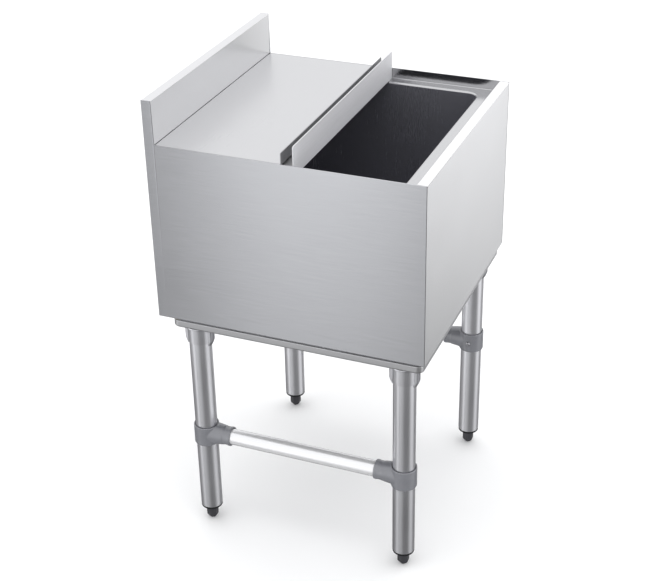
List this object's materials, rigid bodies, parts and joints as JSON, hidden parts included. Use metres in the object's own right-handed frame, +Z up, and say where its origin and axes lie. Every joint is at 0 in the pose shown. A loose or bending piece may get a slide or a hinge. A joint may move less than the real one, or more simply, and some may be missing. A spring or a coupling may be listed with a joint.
{
  "type": "underbar ice bin",
  "caption": "Insulated stainless underbar ice bin on a four-leg stand, with a deep tub, a backsplash, a lift-off rear lid and a front lid that slides under it.",
  "frame": {"origin": "on the floor, under the middle of the body's footprint", "axes": "+Z up, -Y towards the user at the front, +X to the user's right; the backsplash is at +Y"},
  "size_m": [0.448, 0.465, 0.812],
  "materials": {
    "panel_steel": "satin brushed stainless, grain along each panel",
    "lid_steel": "fine brushed stainless, lighter than the sides",
    "tub_steel": "smooth drawn stainless, dark in the deep tub",
    "leg_steel": "satin tube",
    "rail_steel": "polished tube",
    "tee_plastic": "grey moulded plastic, fine texture",
    "foot_plastic": "dark grey moulded plastic",
    "insert_plastic": "black moulded plastic",
    "foam": "rigid insulation foam",
    "drain_steel": "turned steel",
    "screw_steel": "plated steel",
    "rubber": "black rubber"
  },
  "bodies": {
    "stand_and_bin": {"side_panel_left": "panel_steel", "side_panel_right": "panel_steel", "front_panel": "panel_steel", "back_panel": "panel_steel", "backsplash": "panel_steel", "base_tray": "panel_steel", "tub_liner": "tub_steel", "insulation_bottom": "foam", "insulation_front": "foam", "insulation_back": "foam", "insulation_left": "foam", "insulation_right": "foam", "drain_strainer": "drain_steel", "drain_gasket": "rubber", "drain_locknut": "drain_steel", "drain_tailpiece": "drain_steel", "side_rail_left": "rail_steel", "side_rail_right": "rail_steel", "leg_socket_front_left": "leg_steel", "socket_screw_front_left": "screw_steel", "leg_front_left": "leg_steel", "tee_front_left": "tee_plastic", "tee_screw_front_left": "screw_steel", "foot_insert_front_left": "insert_plastic", "leg_socket_rear_left": "leg_steel", "socket_screw_rear_left": "screw_steel", "leg_rear_left": "leg_steel", "tee_rear_left": "tee_plastic", "tee_screw_rear_left": "screw_steel", "foot_insert_rear_left": "insert_plastic", "leg_socket_front_right": "leg_steel", "socket_screw_front_right": "screw_steel", "leg_front_right": "leg_steel", "tee_front_right": "tee_plastic", "tee_screw_front_right": "screw_steel", "foot_insert_front_right": "insert_plastic", "leg_socket_rear_right": "leg_steel", "socket_screw_rear_right": "screw_steel", "leg_rear_right": "leg_steel", "tee_rear_right": "tee_plastic", "tee_screw_rear_right": "screw_steel", "foot_insert_rear_right": "insert_plastic"},
    "rear_lid": {"rear_lid": "lid_steel"},
    "front_lid": {"front_lid": "lid_steel"},
    "foot_front_left": {"levelling_foot_front_left": "foot_plastic", "foot_stud_front_left": "screw_steel"},
    "foot_rear_left": {"levelling_foot_rear_left": "foot_plastic", "foot_stud_rear_left": "screw_steel"},
    "foot_front_right": {"levelling_foot_front_right": "foot_plastic", "foot_stud_front_right": "screw_steel"},
    "foot_rear_right": {"levelling_foot_rear_right": "foot_plastic", "foot_stud_rear_right": "screw_steel"}
  },
  "joints": [
    {"name": "front_lid_slide", "type": "slide", "parent": "stand_and_bin", "child": "front_lid", "axis": [0, -1, 0], "range_m": [0, 0.195]},
    {"name": "rear_lid_lift", "type": "slide", "parent": "stand_and_bin", "child": "rear_lid", "axis": [0, 0, 1], "range_m": [0, 0.11]},
    {"name": "foot_front_left_level", "type": "slide", "parent": "stand_and_bin", "child": "foot_front_left", "axis": [0, 0, -1], "range_m": [0, 0.015]},
    {"name": "foot_rear_left_level", "type": "slide", "parent": "stand_and_bin", "child": "foot_rear_left", "axis": [0, 0, -1], "range_m": [0, 0.015]},
    {"name": "foot_front_right_level", "type": "slide", "parent": "stand_and_bin", "child": "foot_front_right", "axis": [0, 0, -1], "range_m": [0, 0.015]},
    {"name": "foot_rear_right_level", "type": "slide", "parent": "stand_and_bin", "child": "foot_rear_right", "axis": [0, 0, -1], "range_m": [0, 0.015]}
  ]
}
